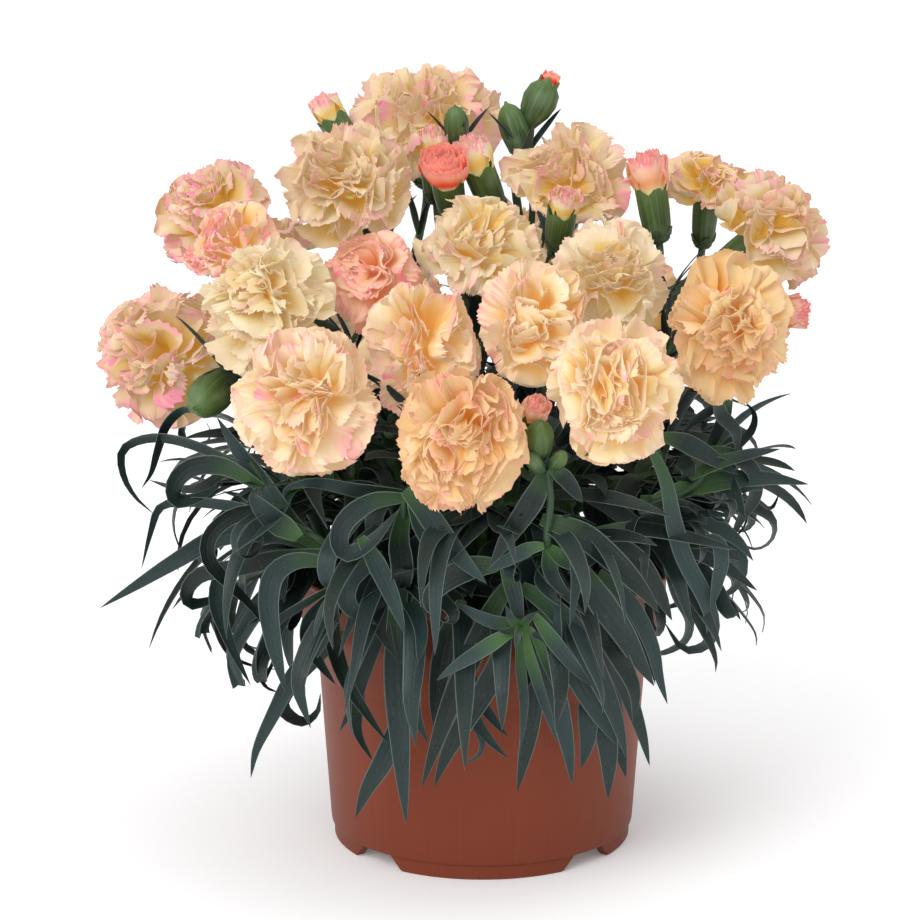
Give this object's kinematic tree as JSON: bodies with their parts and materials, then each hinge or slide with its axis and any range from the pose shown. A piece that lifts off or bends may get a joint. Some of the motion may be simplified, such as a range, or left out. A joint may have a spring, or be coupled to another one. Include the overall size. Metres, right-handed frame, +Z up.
{
  "type": "potted dianthus plant",
  "caption": "Pot carnation in full bloom: ruffled cream and peach flowers with pink edges and buds over a mound of arching blue-green leaves, in a round terracotta-coloured plastic pot.",
  "frame": {"origin": "on the surface that the pot stands on, under the middle of the whole plant's box; the pot's axis passes 2.9 mm to its right and 1.4 mm in front of it", "axes": "+Z up along the pot's axis, +Y to the back of the plant, +X to the right seen from the front"},
  "size_m": [0.2482, 0.2386, 0.2662],
  "materials": {
    "pot_plastic": "satin moulded plastic",
    "potting_mix": "dark moist peat with bark and white perlite",
    "leaf": "waxy blue-green leaf with a pale margin",
    "stem": "smooth waxy green stem and calyx",
    "petal_cream": "soft thin petal, pale cream with pink teeth",
    "petal_peach": "soft thin petal, peach with pink teeth",
    "petal_gold": "soft thin petal, deep yellow peach",
    "petal_salmon": "soft thin petal, salmon pink with paler edges",
    "petal_coral": "rolled young petal, coral red"
  },
  "bodies": {
    "root": {"pot": "pot_plastic", "soil": "potting_mix", "low_shoot_1": "leaf", "low_shoot_2": "leaf", "low_shoot_3": "leaf", "low_shoot_4": "leaf", "low_shoot_5": "leaf", "low_shoot_6": "leaf", "low_shoot_7": "leaf", "low_shoot_8": "leaf", "tall_shoot_1": "leaf", "tall_shoot_2": "leaf", "tall_shoot_3": "leaf", "tall_shoot_4": "leaf", "tall_shoot_5": "leaf", "tall_shoot_6": "leaf", "flower_spray_back": "stem", "flower_spray_back_left": "stem", "flower_spray_back_right": "stem", "flower_spray_far_right": "stem", "flower_spray_front": "stem", "flower_spray_front_left": "stem", "flower_spray_inner_right": "stem", "flower_spray_left": "stem", "flower_spray_left_back": "stem", "flower_spray_middle": "stem", "flower_spray_right": "stem", "flower_spray_top": "stem", "flower_spray_upper_right": "stem", "bloom_back": "petal_cream", "bloom_back_edge": "petal_peach", "bloom_back_left": "petal_peach", "bloom_back_middle": "petal_peach", "bloom_back_right": "petal_peach", "bloom_far_left": "petal_peach", "bloom_far_right": "petal_peach", "bloom_front": "petal_gold", "bloom_front_left": "petal_peach", "bloom_front_right": "petal_peach", "bloom_inner_right": "petal_peach", "bloom_left": "petal_cream", "bloom_left_edge": "petal_peach", "bloom_middle": "petal_cream", "bloom_peach": "petal_peach", "bloom_pink_left": "petal_salmon", "bloom_right": "petal_cream", "bloom_right_edge": "petal_peach", "bloom_salmon": "petal_salmon", "bloom_small_right": "petal_peach", "bloom_top": "petal_cream", "bloom_upper_left": "petal_cream", "bloom_upper_right": "petal_peach", "bud_petals_coral": "petal_coral", "bud_petals_cream": "petal_cream", "bud_petals_front": "petal_coral", "bud_petals_right_edge": "petal_salmon", "bud_petals_rosette": "petal_coral", "bud_petals_small": "petal_salmon", "bud_petals_top_left": "petal_salmon", "bud_petals_top_right": "petal_coral"}
  },
  "joints": []
}
